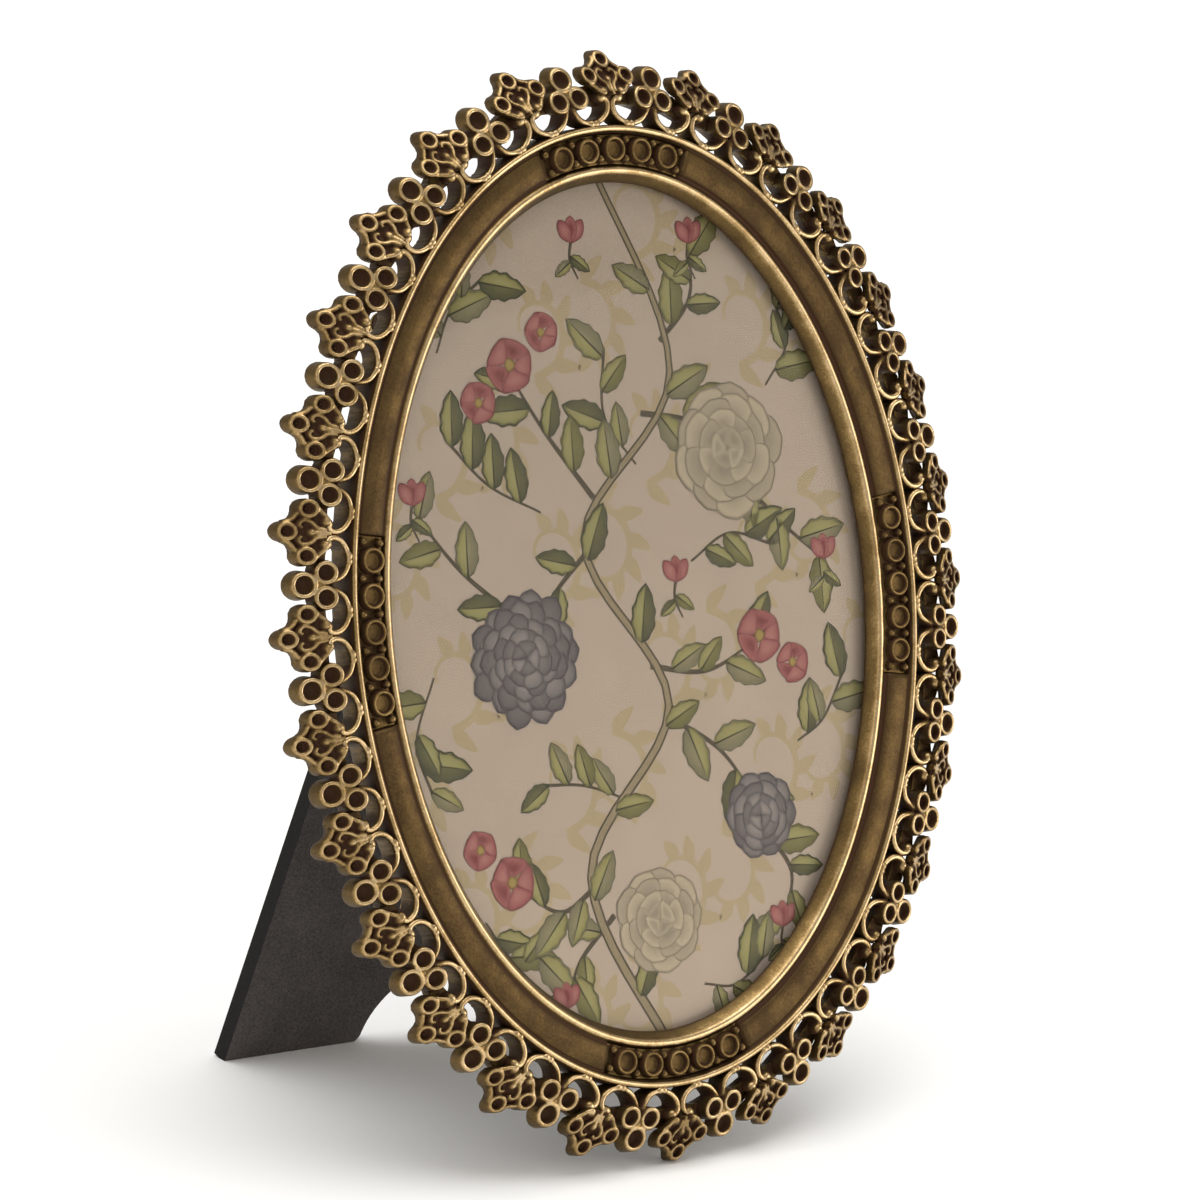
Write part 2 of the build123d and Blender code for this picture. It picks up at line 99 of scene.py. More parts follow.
def rim_axes(along):
    """Places on the rim and the ways outwards there, at distances along it from the top, to the left."""
    angle = np.interp(np.mod(along, rim_length), rim_run, rim_turn)
    point = np.stack([-rim_half_width * np.sin(angle), rim_half_height * np.cos(angle)], -1)
    outward = np.stack([-rim_half_height * np.sin(angle), rim_half_width * np.cos(angle)], -1)
    return point, outward / np.linalg.norm(outward, axis=-1, keepdims=True)


def set_out(along, out):
    """Places set out from the rim: a distance along it, then a distance outwards."""
    point, outward = rim_axes(along)
    return point + outward * np.asarray(out)[..., None]


# The castings and the print are drawn flat, in millimetres: X to the right, Y up the oval and Z out of the
# front, with Z zero at the rim's crest. The frame leans back on its lowest lace point and an easel leg, and
# the middle of the glass shows where the flat drawing stands in it.
millimetre = 0.001
lean_angle = math.radians(15)
glass_middle_depth = 4.81
front_way = Vector((0, -math.cos(lean_angle), math.sin(lean_angle)))
glass_low, glass_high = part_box("glass_oval")
oval_middle = (glass_low + glass_high) / 2 + front_way * glass_middle_depth * millimetre
stand_up = (
    Matrix.Translation(oval_middle)
    @ Matrix.Rotation(math.pi / 2 - lean_angle, 4, "X")
    @ Matrix.Scale(millimetre, 4)
)


def stood_piece(name, places, faces, body="frame"):
    """Stands a piece up from flat places, with nothing under the floor, to ride on a body."""
    turn = np.array(stand_up)
    standing = places @ turn[:3, :3].T + turn[:3, 3]
    standing[:, 2] = np.maximum(standing[:, 2], 0)
    mesh = bpy.data.meshes.new(name)
    mesh.from_pydata(standing.tolist(), [], faces)
    mesh.shade_smooth()
    piece = bpy.data.objects.new(name, mesh)
    bpy.context.scene.collection.objects.link(piece)
    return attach(piece, body)


# Its finish is antique gold: a brassy wash on the cast alloy, rubbed bright on the crests and left dark in
# the hollows. How dark each place is drawn holds that patina together with painted shade where a place is
# closed in or turns from the front. That gives narrow warm highlights on every crest and brown between
# them. The grit of the casting is drawn as coarse as it needs to show.
gold_blotch = 7.0
gold_grit = 0.45
gold_pit_depth = 0.04


def linear(code):
    """An sRGB hex colour as linear light."""
    shares = [int(code[place : place + 2], 16) / 255 for place in (1, 3, 5)]
    light = [share / 12.92 if share <= 0.04045 else ((share + 0.055) / 1.055) ** 2.4 for share in shares]
    return light + [1.0]


def add_node(tree, kind, settings, links):
    """One node with its settings, colour stops among them, and its links from other sockets."""
    made = tree.nodes.new(kind)
    for name, value in settings.items():
        if name == "stops":
            while len(made.color_ramp.elements) < len(value):
                made.color_ramp.elements.new(1.0)
            for stop, (place, colour) in zip(made.color_ramp.elements, value):
                stop.position = place
                stop.color = linear(colour)
        elif isinstance(name, int) or name in made.inputs:
            made.inputs[name].default_value = value
        else:
            setattr(made, name, value)
    for name, source in links.items():
        tree.links.new(source, made.inputs[name])
    return made


def bare_tree(name):
    """A new material and its empty node tree."""
    material = bpy.data.materials.new(name)
    material.use_nodes = True
    material.node_tree.nodes.clear()
    return material, material.node_tree


antique_gold, tree = bare_tree("antique_gold_wash_on_cast_metal")
where = add_node(tree, "ShaderNodeTexCoord", {}, {}).outputs["Object"]
# How dark each place is drawn: patina in the hollows together with painted shade.
grime = add_node(tree, "ShaderNodeAttribute", {"attribute_name": "grime"}, {}).outputs["Fac"]
blotch = add_node(
    tree,
    "ShaderNodeTexNoise",
    {"Scale": 1 / (gold_blotch * millimetre), "Detail": 4.0, "Roughness": 0.6},
    {"Vector": where},
)
grit = add_node(
    tree,
    "ShaderNodeTexNoise",
    {"Scale": 1 / (gold_grit * millimetre), "Detail": 3.0},
    {"Vector": where},
)
blotched = add_node(
    tree,
    "ShaderNodeMath",
    {"operation": "MULTIPLY_ADD", 1: 0.5},
    {0: blotch.outputs["Fac"], 2: grime},
)
gritted = add_node(
    tree,
    "ShaderNodeMath",
    {"operation": "MULTIPLY_ADD", 1: 0.3},
    {0: grit.outputs["Fac"], 2: blotched.outputs[0]},
)
level = add_node(
    tree,
    "ShaderNodeMath",
    {"operation": "SUBTRACT", 1: 0.4, "use_clamp": True},
    {0: gritted.outputs[0]},
)
gold_stops = [(0.0, "#d0b58a"), (0.14, "#a4885c"), (0.34, "#6c5734"), (0.6, "#473620"), (1.0, "#472f20")]
tone = add_node(tree, "ShaderNodeValToRGB", {"stops": gold_stops}, {"Fac": level.outputs[0]})
dulled = add_node(
    tree,
    "ShaderNodeMapRange",
    {"From Min": 0.0, "From Max": 1.0, "To Min": 0.3, "To Max": 0.62},
    {"Value": level.outputs[0]},
)
bare_metal = add_node(
    tree,
    "ShaderNodeMapRange",
    {"From Min": 0.3, "From Max": 1.0, "To Min": 1.0, "To Max": 0.1},
    {"Value": level.outputs[0]},
)
pits = add_node(
    tree,
    "ShaderNodeBump",
    {"Strength": 0.35, "Distance": gold_pit_depth * millimetre},
    {"Height": grit.outputs["Fac"]},
)
surface = add_node(
    tree,
    "ShaderNodeBsdfPrincipled",
    {"Specular IOR Level": 0.12},
    {
        "Base Color": tone.outputs["Color"],
        "Metallic": bare_metal.outputs["Result"],
        "Roughness": dulled.outputs["Result"],
        "Normal": pits.outputs["Normal"],
    },
)
add_node(tree, "ShaderNodeOutputMaterial", {}, {"Surface": surface.outputs[0]})


def gilded(piece, patina_and_shade_values, *nodes):
    """Gives a cast piece its gold, with patina and painted shade, and lets it stand for its CAD nodes."""
    piece.data.attributes.new("grime", "FLOAT", "POINT").data.foreach_set("value", patina_and_shade_values)
    piece.data.materials.append(antique_gold)
    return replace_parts(piece, *nodes)


def short_of(corner, neighbour):
    """The place a little short of a corner, on the side that runs to one of its neighbours."""
    side = corner - neighbour
    cut_share = min(corner_most_share, corner_softness / np.linalg.norm(side[:2]))
    return neighbour + side * (1 - cut_share)


def softened(corners):
    """A closed section with each corner rounded into three places."""
    soft = []
    count = len(corners)
    for number, corner in enumerate(corners):
        here = np.array(corner)
        back = short_of(here, np.array(corners[number - 1]))
        ahead = short_of(here, np.array(corners[(number + 1) % count]))
        soft += [back, (back + ahead + here * 2) / 4, ahead]
    return np.array(soft)


def pocket_section():
    """The moulding's corners where a pocket is cut, as many as on the plain section."""
    first, last = pocket_corners
    corners = list(moulding_corners)
    for number in range(first + 1, last + 1):
        share = (number - first - 1) / (last - first - 1)
        out = pocket_outer_out + (pocket_inner_out - pocket_outer_out) * share
        # The pocket's walls and floor are drawn fully dark: painted shade.
        corners[number] = (out, -pocket_depth, 1.0)
    return corners


plain = softened(moulding_corners)
pocketed = softened(pocket_section())
panel_places = {
    "top_cup_panel": 0.0,
    "left_cup_panel": rim_length / 4,
    "bottom_cup_panel": rim_length / 2,
    "right_cup_panel": rim_length * 3 / 4,
}
ring_marks = []
for middle in panel_places.values():
    start = middle - pocket_half_length
    end = middle + pocket_half_length
    across = math.ceil((end - start) / ring_step)
    ring_marks += [(start + (end - start) * step / across, pocketed) for step in range(across + 1)]
    beyond = middle + rim_length / 4 - pocket_half_length
    across = math.ceil((beyond - end) / ring_step)
    first = end + pocket_wall
    last = beyond - pocket_wall
    ring_marks += [(first + (last - first) * step / across, plain) for step in range(across + 1)]
rings = []
ring_patina_and_shade = []
for along, section in ring_marks:
    flat = set_out(np.full(len(section), along), section[:, 0])
    rings.append(np.column_stack([flat, section[:, 1]]))
    ring_patina_and_shade.append(section[:, 2])
side_count = len(plain)
moulding_faces = []
for ring in range(len(rings)):
    ahead = (ring + 1) % len(rings)
    for side in range(side_count):
        beside = (side + 1) % side_count
        moulding_faces.append(
            (
                ring * side_count + side,
                ring * side_count + beside,
                ahead * side_count + beside,
                ahead * side_count + side,
            )
        )

# Four lugs on the moulding's back, each with a hole for a clip's screw.
lug_shares = [0.13, 0.36, 0.64, 0.87]
lug_out = -1.95
lug_radius = 2.4
lug_hole_radius = 1.01
lug_root = -7.3
lug_end = -9.29
lug_sides = 32
lug_patina_and_shade = 0.7
lug_section = [
    (lug_radius, lug_root),
    (lug_radius, lug_end),
    (lug_hole_radius, lug_end),
    (lug_hole_radius, lug_root),
]
for lug_share in lug_shares:
    first = sum(len(ring) for ring in rings)
    middle = set_out(lug_share * rim_length, lug_out)
    for side in range(lug_sides):
        angle = 2 * math.pi * side / lug_sides
        way = np.array([math.cos(angle), math.sin(angle)])
        rings.append(np.array([[*(middle + way * radius), height] for radius, height in lug_section]))
        ring_patina_and_shade.append(np.full(len(lug_section), lug_patina_and_shade))
        here = first + side * len(lug_section)
        ahead = first + (side + 1) % lug_sides * len(lug_section)
        for corner in range(len(lug_section)):
            beside = (corner + 1) % len(lug_section)
            moulding_faces.append((here + corner, here + beside, ahead + beside, ahead + corner))
moulding = stood_piece("oval_moulding_cast", np.vstack(rings), moulding_faces)
gilded(moulding, np.concatenate(ring_patina_and_shade), "oval_moulding")

# Cup panels: strips of five ring cups with pairs of beads between them, cast and set into the pockets.
# Castings are made here as joined shapes under one skin, softened as a mould leaves them.
cups_per_panel = 5
cup_pitch = 7.0
cup_radius = 2.5
cup_foot_radius = 2.6
cup_pit_radius = 1.7
cup_crest = 0.7
pit_share = 0.8
cup_out = -4.1
cup_top = 0.2
cup_hollow = 1.3
bead_radius = 0.8
bead_outs = [-2.15, -5.85]
bead_top = -0.2
panel_top = -1.9
panel_outer_out = -1.05
panel_inner_out = -7.0
skin_voxel = 0.13
skin_softness_share = 0.5
panel_rounds = 3
panel_faces = 36000
shadow_reach = 2.4
shadow_ways = 24
panel_shadow = 0.6
# The panels are drawn evenly darker all over.
panel_darkening = 0.3
wall_shade_weight = 0.45
cup_sides = 36
crest_steps = 4
dome_steps = 5


def turned(shapes, x, y, profile):
    """A closed shape turned about an upright axis, from radii and heights that start and end on it."""
    loops = []
    for radius, height in profile:
        if radius == 0:
            loops.append([shapes.verts.new((x, y, height))])
            continue
        loop = []
        for side in range(cup_sides):
            angle = 2 * math.pi * side / cup_sides
            place = (x + radius * math.cos(angle), y + radius * math.sin(angle), height)
            loop.append(shapes.verts.new(place))
        loops.append(loop)
    for lower, upper in zip(loops, loops[1:]):
        for side in range(cup_sides):
            beside = (side + 1) % cup_sides
            corners = [lower[side % len(lower)], lower[beside % len(lower)]]
            corners += [upper[beside % len(upper)], upper[side % len(upper)]]
            corners = list(dict.fromkeys(corners))
            shapes.faces.new(corners)
    return [vert for loop in loops for vert in loop]


def ring_cup(shapes, x, y, radius, foot_radius, pit_radius, crest_width, top, hollow, foot):
    """A ring cup: a wall that widens to its foot, a rolled crest, and a hollow that narrows to a pit."""
    roll = crest_width / 2
    angles = [math.pi * step / crest_steps for step in range(crest_steps + 1)]
    profile = [(0, foot), (foot_radius, foot)]
    for angle in angles:
        profile.append((radius - roll + roll * math.cos(angle), top - roll + roll * math.sin(angle)))
    floor = top - hollow
    profile += [(pit_radius, top - hollow * pit_share), (pit_radius * pit_share, floor), (0, floor)]
    return turned(shapes, x, y, profile)


def bead(shapes, x, y, top, radius, foot):
    """A round bead on a post that runs down to a foot."""
    angles = [math.pi / 2 * step / dome_steps for step in range(dome_steps)]
    profile = [(0, foot), (radius, foot)]
    profile += [(radius * math.cos(angle), top - radius + radius * math.sin(angle)) for angle in angles]
    return turned(shapes, x, y, profile + [(0, top)])


def cast(shapes, most_faces, rounds, shadow_weight):
    """Joins shapes under one softened skin: its places, faces, and patina with painted shade."""
    bmesh.ops.recalc_face_normals(shapes, faces=shapes.faces)
    mesh = bpy.data.meshes.new("pattern")
    shapes.to_mesh(mesh)
    shapes.free()
    pattern = bpy.data.objects.new("pattern", mesh)
    bpy.context.scene.collection.objects.link(pattern)
    skin = pattern.modifiers.new("skin", "REMESH")
    skin.mode = "VOXEL"
    skin.voxel_size = skin_voxel
    soften = pattern.modifiers.new("soften", "SMOOTH")
    soften.factor = skin_softness_share
    soften.iterations = rounds
    lighten = pattern.modifiers.new("lighten", "DECIMATE")
    lighten.use_collapse_triangulate = True
    lighten.ratio = 1.0
    before = pattern.evaluated_get(bpy.context.evaluated_depsgraph_get())
    lighten.ratio = min(1.0, most_faces / (2 * len(before.data.polygons)))
    after = pattern.evaluated_get(bpy.context.evaluated_depsgraph_get())
    made = bpy.data.meshes.new_from_object(after)
    places = np.zeros(len(made.vertices) * 3)
    made.vertices.foreach_get("co", places)
    places = places.reshape(-1, 3)
    ways_out = np.zeros(len(made.vertices) * 3)
    made.vertices.foreach_get("normal", ways_out)
    ways_out = ways_out.reshape(-1, 3)
    faces = [tuple(face.vertices) for face in made.polygons]
    bpy.data.objects.remove(pattern)
    bpy.data.meshes.remove(mesh)
    bpy.data.meshes.remove(made)
    return places, faces, darkened(places, faces, ways_out, shadow_weight)


def darkened(places, faces, ways_out, shadow_weight):
    """Patina and painted shade where a place is closed in; painted shade where it turns from the front."""
    tree = BVHTree.FromPolygons(places.tolist(), faces)
    golden = math.pi * (3 - math.sqrt(5))
    steps = [(number + 0.5) / shadow_ways for number in range(shadow_ways)]
    rays = []
    for number, step in enumerate(steps):
        side = math.sqrt(step)
        spin = golden * number
        rays.append(Vector((side * math.cos(spin), side * math.sin(spin), math.sqrt(1 - step))))
    dark = np.zeros(len(places))
    for number, (place, way) in enumerate(zip(places, ways_out)):
        way = Vector(way)
        turn = way.to_track_quat("Z", "Y")
        start = Vector(place) + way * skin_voxel / 4
        met = sum(tree.ray_cast(start, turn @ ray, shadow_reach)[0] is not None for ray in rays)
        # Painted shade: darker for each ray that meets the casting, and on walls turned away from the
        # front.
        dark[number] = shadow_weight * met / shadow_ways + wall_shade_weight * (1 - max(way.z, 0.0))
    return np.clip(dark, 0, 1)


def extruded(shapes, outline, low, high):
    """A plate from a flat outline, between two heights."""
    lower = [shapes.verts.new((x, y, low)) for x, y in outline]
    upper = [shapes.verts.new((x, y, high)) for x, y in outline]
    shapes.faces.new(list(reversed(lower)))
    shapes.faces.new(upper)
    for side in range(len(outline)):
        beside = (side + 1) % len(outline)
        shapes.faces.new([lower[side], lower[beside], upper[beside], upper[side]])
    return lower + upper


for node, middle in panel_places.items():
    shapes = bmesh.new()
    half = pocket_half_length - pocket_wall
    marks = np.linspace(middle - half, middle + half, math.ceil(2 * half / ring_step))
    edges = np.concatenate(
        [
            set_out(marks, np.full(len(marks), panel_outer_out)),
            set_out(marks[::-1], np.full(len(marks), panel_inner_out)),
        ]
    )
    extruded(shapes, edges.tolist(), -pocket_depth, panel_top)
    for number in range(cups_per_panel):
        along = middle + (number - (cups_per_panel - 1) / 2) * cup_pitch
        x, y = set_out(along, cup_out)
        ring_cup(
            shapes,
            x,
            y,
            cup_radius,
            cup_foot_radius,
            cup_pit_radius,
            cup_crest,
            cup_top,
            cup_hollow,
            panel_top - bead_radius,
        )
    for number in range(cups_per_panel + 1):
        along = middle + (number - cups_per_panel / 2) * cup_pitch
        for out in bead_outs:
            x, y = set_out(along, out)
            bead(shapes, x, y, bead_top, bead_radius, panel_top - bead_radius)
    places, faces, dark = cast(shapes, panel_faces, panel_rounds, panel_shadow)
    gilded(stood_piece(node + "_cast", places, faces), np.clip(dark + panel_darkening, 0, 1), node)

# Trefoil links: three ring cups and two tall scrolls, one casting each. The scrolls run from behind the
# cups to a collar on the rim and round to a curled end, where they meet the next link's.
repeat_count = 28
pitch = rim_length / repeat_count
inner_ring_out = 6.5
inner_ring_aside = 2.35
inner_ring_radius = 2.35
inner_ring_foot = 2.5
inner_ring_pit = 1.25
outer_ring_out = 10.6
outer_ring_radius = 2.6
outer_ring_foot = 2.9
outer_ring_pit = 1.35
trefoil_crest = 0.95
trefoil_slope = math.radians(17)
trefoil_rise = 0.1
trefoil_thickness = 3.4
trefoil_hollow = 1.9
heart_radius = 1.0
heart_drop = 0.35
scroll_width = 1.2
scroll_crown = 0.5
scroll_rise = -0.3
scroll_thickness = 5.0
web_top = -2.9
web_outline = [(1.2, 4.4), (5.0, 4.9), (8.3, 4.5), (8.3, 7.6), (6.0, 8.6), (3.0, 7.5)]
scroll_run = [
    (0.45, 5.2),
    (1.75, 2.5),
    (3.2, 1.45),
    (4.95, 1.15),
    (6.9, 1.75),
    (8.25, 3.1),
    (8.62, 4.7),
    (8.2, 5.85),
]
scroll_curl = (7.4, 6.05)
scroll_bead_radius = 1.1
collar_place = (4.95, 1.05)
collar_spacing = 1.05
collar_bead_radius = 0.85
scroll_steps = 7
strip_shoulder_share = 0.6
strip_shoulder_drop_share = 0.25
trefoil_faces = 6900
trefoil_rounds = 4
trefoil_shadow = 2.0


def smooth_run(marks, steps):
    """Places along a smooth curve through marks."""
    marks = [np.array(mark, float) for mark in marks]
    ends = [2 * marks[0] - marks[1]] + marks + [2 * marks[-1] - marks[-2]]
    run = []
    for before, here, ahead, beyond in zip(ends, ends[1:], ends[2:], ends[3:]):
        for step in range(steps):
            share = step / steps
            run.append(
                (
                    2 * here
                    + (ahead - before) * share
                    + (2 * before - 5 * here + 4 * ahead - beyond) * share**2
                    + (3 * here - before - 3 * ahead + beyond) * share**3
                )
                / 2
            )
    return np.array(run + [marks[-1]])


def headings(run):
    """The way ahead at each place of a run."""
    ways = np.gradient(run, axis=0)
    return ways / np.linalg.norm(ways, axis=1, keepdims=True)


def upright_strip(shapes, run, width, top, foot, crown):
    """A strip on edge along a run, with a rounded crest."""
    half = width / 2
    shoulder = half * strip_shoulder_share
    shoulder_top = top - crown * strip_shoulder_drop_share
    section = [(-half, foot), (-half, top - crown), (-shoulder, shoulder_top), (0, top)]
    section += [(shoulder, shoulder_top), (half, top - crown), (half, foot)]
    loops = []
    for (x, y), (ahead_x, ahead_y) in zip(run, headings(run)):
        loop = [shapes.verts.new((x - ahead_y * aside, y + ahead_x * aside, z)) for aside, z in section]
        loops.append(loop)
    for near, far in zip(loops, loops[1:]):
        for side in range(len(section)):
            beside = (side + 1) % len(section)
            shapes.faces.new([near[side], near[beside], far[beside], far[side]])
    shapes.faces.new(loops[0])
    shapes.faces.new(list(reversed(loops[-1])))
    return [vert for loop in loops for vert in loop]


def tilted(verts, from_out, slope, rise):
    """Leans places back: they fall away outwards from a line at a distance from the rim."""
    for vert in verts:
        vert.co.z += rise - (vert.co.y - from_out) * math.tan(slope)


shapes = bmesh.new()
cups = ring_cup(
    shapes,
    0,
    outer_ring_out,
    outer_ring_radius,
    outer_ring_foot,
    outer_ring_pit,
    trefoil_crest,
    0,
    trefoil_hollow,
    -trefoil_thickness,
)
for hand in (-1, 1):
    aside = hand * inner_ring_aside
    cups += ring_cup(
        shapes,
        aside,
        inner_ring_out,
        inner_ring_radius,
        inner_ring_foot,
        inner_ring_pit,
        trefoil_crest,
        0,
        trefoil_hollow,
        -trefoil_thickness,
    )
heart_out = (outer_ring_out + 2 * inner_ring_out) / 3
heart_section = [
    (0, -trefoil_thickness),
    (heart_radius, -trefoil_thickness),
    (heart_radius, -heart_drop),
    (0, -heart_drop),
]
cups += turned(shapes, 0, heart_out, heart_section)
tilted(cups, inner_ring_out, trefoil_slope, trefoil_rise)
scroll_foot = scroll_rise - scroll_thickness
scroll_bead_top = scroll_rise + scroll_crown / 2
curl_aside, curl_out = scroll_curl
collar_aside, collar_out = collar_place
for hand in (-1, 1):
    run = smooth_run([(hand * x, y) for x, y in scroll_run + [scroll_curl]], scroll_steps)
    upright_strip(shapes, run, scroll_width, scroll_rise, scroll_foot, scroll_crown)
    web = [(hand * x, y) for x, y in web_outline]
    extruded(shapes, web, scroll_foot, web_top)
    bead(shapes, hand * curl_aside, curl_out, scroll_bead_top, scroll_bead_radius, scroll_foot)
    for side in (-1, 1):
        x = hand * collar_aside + side * collar_spacing / 2
        bead(shapes, x, collar_out, scroll_bead_top, collar_bead_radius, scroll_foot)
link_places, link_faces, link_dark = cast(shapes, trefoil_faces, trefoil_rounds, trefoil_shadow)

# Each link keeps its round cups, and its scrolls bend to follow the rim: more so further from its middle
# and nearer to the rim, between these limits.
bend_asides = [4.4, 7.0]
bend_outs = [4.0, 2.2]
placed_links = []
for number in range(repeat_count):
    middle = (number + 0.5) * pitch
    point, outward = rim_axes(middle)
    aside_way = np.array([outward[1], -outward[0]])
    aside = link_places[:, 0]
    out = link_places[:, 1]
    stiff = point + aside[:, None] * aside_way + out[:, None] * outward
    bent = set_out(middle - aside, out)
    sideways = np.clip((np.abs(aside) - bend_asides[0]) / (bend_asides[1] - bend_asides[0]), 0, 1)
    inwards = np.clip((out - bend_outs[0]) / (bend_outs[1] - bend_outs[0]), 0, 1)
    share = np.maximum(sideways, inwards)[:, None]
    flat = stiff * (1 - share) + bent * share
    placed_links.append(np.column_stack([flat, link_places[:, 2]]))


def repeated(faces, count, places_each):
    """The faces of a pattern that is set out several times."""
    made = []
    for number in range(count):
        made += [tuple(corner + number * places_each for corner in face) for face in faces]
    return made


links = stood_piece(
    "trefoil_links_cast",
    np.vstack(placed_links),
    repeated(link_faces, repeat_count, len(link_places)),
)
gilded(links, np.tile(link_dark, repeat_count), "border_trefoils")

# Lace points: lobed plaques, sunken between three small cups, with curling ribs and bead grains. They lean
# further back than the links, and each has a stem between the curls of the scrolls on either side.
point_outline = [
    (0.0, 15.75),
    (1.0, 15.45),
    (1.75, 14.75),
    (2.05, 13.8),
    (2.5, 13.0),
    (3.3, 12.5),
    (4.3, 12.45),
    (5.3, 12.2),
    (6.1, 11.5),
    (6.45, 10.5),
    (6.25, 9.5),
    (5.6, 8.75),
    (4.7, 8.4),
    (3.8, 8.2),
    (3.3, 7.4),
    (2.9, 6.65),
    (2.2, 6.4),
    (1.5, 6.6),
    (1.2, 7.0),
    (0.75, 7.0),
    (0.75, 6.4),
]
point_slope = math.radians(30)
point_from_out = 10.6
point_rise = -1.6
point_thickness = 2.2
point_plate_top = -0.6
point_cups = [(0.0, 13.8, 1.85), (4.45, 10.45, 1.85), (-4.45, 10.45, 1.85)]
point_cup_foot = 1.98
point_cup_pit = 0.95
point_cup_crest = 0.88
point_cup_top = 0.9
point_cup_hollow = 1.7
pit_bead_radius = 0.35
pit_bead_top = -0.1
rib_width = 1.0
rib_top = 0.55
rib_crown = 0.5
rib_runs = [
    [(1.6, 14.4), (2.2, 13.1), (3.6, 12.1)],
    [(4.9, 8.9), (3.9, 8.2), (3.1, 7.4), (2.3, 6.95)],
    [(0.6, 7.2), (0.95, 8.7), (1.95, 9.7), (2.3, 11.0), (1.4, 11.8), (0.75, 11.2)],
]
grain_marks = [(2.15, 7.3, 0.95), (0.0, 9.7, 0.85)]
grain_rise = 0.7
stem_rib_run = [(0.0, 9.3), (0.0, 6.45)]
point_run_steps = 6
point_faces = 6900
point_rounds = 4
point_shadow = 2.1
# The lace points are drawn a little darker all over.
point_darkening = 0.04

shapes = bmesh.new()
rib_foot = -point_thickness / 2
left_side = [(-x, y) for x, y in reversed(point_outline) if x > 0]
raised = extruded(shapes, point_outline + left_side, -point_thickness, point_plate_top)
for x, y, radius in point_cups:
    raised += ring_cup(
        shapes,
        x,
        y,
        radius,
        point_cup_foot,
        point_cup_pit,
        point_cup_crest,
        point_cup_top,
        point_cup_hollow,
        -point_thickness,
    )
    raised += bead(shapes, x, y, pit_bead_top, pit_bead_radius, rib_foot)
for hand in (-1, 1):
    for marks in rib_runs:
        run = smooth_run([(hand * x, y) for x, y in marks], point_run_steps)
        raised += upright_strip(shapes, run, rib_width, rib_top, rib_foot, rib_crown)
    for x, y, radius in grain_marks:
        raised += bead(shapes, hand * x, y, grain_rise, radius, rib_foot)
run = smooth_run(stem_rib_run, point_run_steps)
raised += upright_strip(shapes, run, rib_width, rib_top, rib_foot, rib_crown)
tilted(raised, point_from_out, point_slope, point_rise)
point_places, point_facets, point_dark = cast(shapes, point_faces, point_rounds, point_shadow)
placed_points = []
for number in range(repeat_count):
    point, outward = rim_axes(number * pitch)
    aside_way = np.array([outward[1], -outward[0]])
    flat = point + point_places[:, :1] * aside_way + point_places[:, 1:2] * outward
    placed_points.append(np.column_stack([flat, point_places[:, 2]]))
points = stood_piece(
    "lace_points_cast",
    np.vstack(placed_points),
    repeated(point_facets, repeat_count, len(point_places)),
)
gilded(points, np.tile(np.clip(point_dark + point_darkening, 0, 1), repeat_count), "border_points")

# Glass: a clear float-glass oval that lies behind the lip and covers the print. It lets light straight
# through and mirrors a little of the room, more so at a glancing view. Its bend is less than float glass's
# own 1.52, to match how little it mirrors.
glass_tint = "#fefefc"
glass_bend = 1.12
glass_polish = 0.03
clear_glass, tree = bare_tree("clear_float_glass")
through = add_node(tree, "ShaderNodeBsdfTransparent", {"Color": linear(glass_tint)}, {})
mirrored = add_node(tree, "ShaderNodeBsdfAnisotropic", {"Roughness": glass_polish}, {})
glance = add_node(tree, "ShaderNodeFresnel", {"IOR": glass_bend}, {})
pane = add_node(
    tree,
    "ShaderNodeMixShader",
    {},
    {0: glance.outputs[0], 1: through.outputs[0], 2: mirrored.outputs[0]},
)
add_node(tree, "ShaderNodeOutputMaterial", {}, {"Surface": pane.outputs[0]})


def refinished(material, *nodes):
    """Gives CAD nodes whose shape is right a better material."""
    for node in nodes:
        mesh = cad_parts[node].data
        mesh.materials.clear()
        mesh.materials.append(material)


refinished(clear_glass, "glass_oval")

# Print: a floral paper behind the glass, of a generic design: tan scrollwork on cream, and over it a vine
# with leaves, blossoms and rosettes. Each patch of ink is a thin flat piece laid on the paper, so its edge
# stays sharp while its colour runs from heart to edge. Inks are pairs of share from the heart, and colour.
sheet_half_width = 63.5
sheet_half_height = 88.9
sheet_back = -5.92
paper_face = -5.86
sheet_sides = 240
ink_reach_share = 0.985
ink_layer = 0.002
paper_colour = "#a6968a"
swirl_inks = [(1.0, "#9d8b6f"), (0.7, "#9f8e73")]
leaf_inks = [
    [(1.0, "#2f2d1a"), (0.88, "#5f5a35"), (0.2, "#6f6a41")],
    [(1.0, "#3a372a"), (0.88, "#6a644c"), (0.2, "#7d765c")],
    [(1.0, "#262519"), (0.88, "#45442d"), (0.2, "#5c5838")],
]
lit_leaf_inks = [(1.0, "#57532f"), (0.8, "#807a4c"), (0.2, "#8c8659")]
vein_colour = "#33301f"
twig_edge_colour = "#473e31"
twig_colour = "#85775f"
slate_inks = [
    [(1.0, "#332e33"), (0.85, "#5a5356"), (0.3, "#6c6464")],
    [(1.0, "#3a353a"), (0.8, "#6c6566"), (0.3, "#817876")],
]
cream_inks = [
    [(1.0, "#5e554a"), (0.9, "#9a8d7b"), (0.3, "#83786a")],
    [(1.0, "#665c50"), (0.88, "#a79985"), (0.3, "#8d8171")],
]
rose_inks = [
    [(1.0, "#4f2224"), (0.85, "#844648"), (0.25, "#9a6460")],
    [(1.0, "#552729"), (0.85, "#905452"), (0.25, "#6f3234")],
]
pollen_inks = [(1.0, "#54401f"), (0.6, "#8f7840")]
blade_steps = 15
blade_roundness = 0.7
tooth_share = 0.1
stroke_steps = 8
leaf_fullness = 0.8
leaf_teeth = 4
leaf_width_share = 0.5
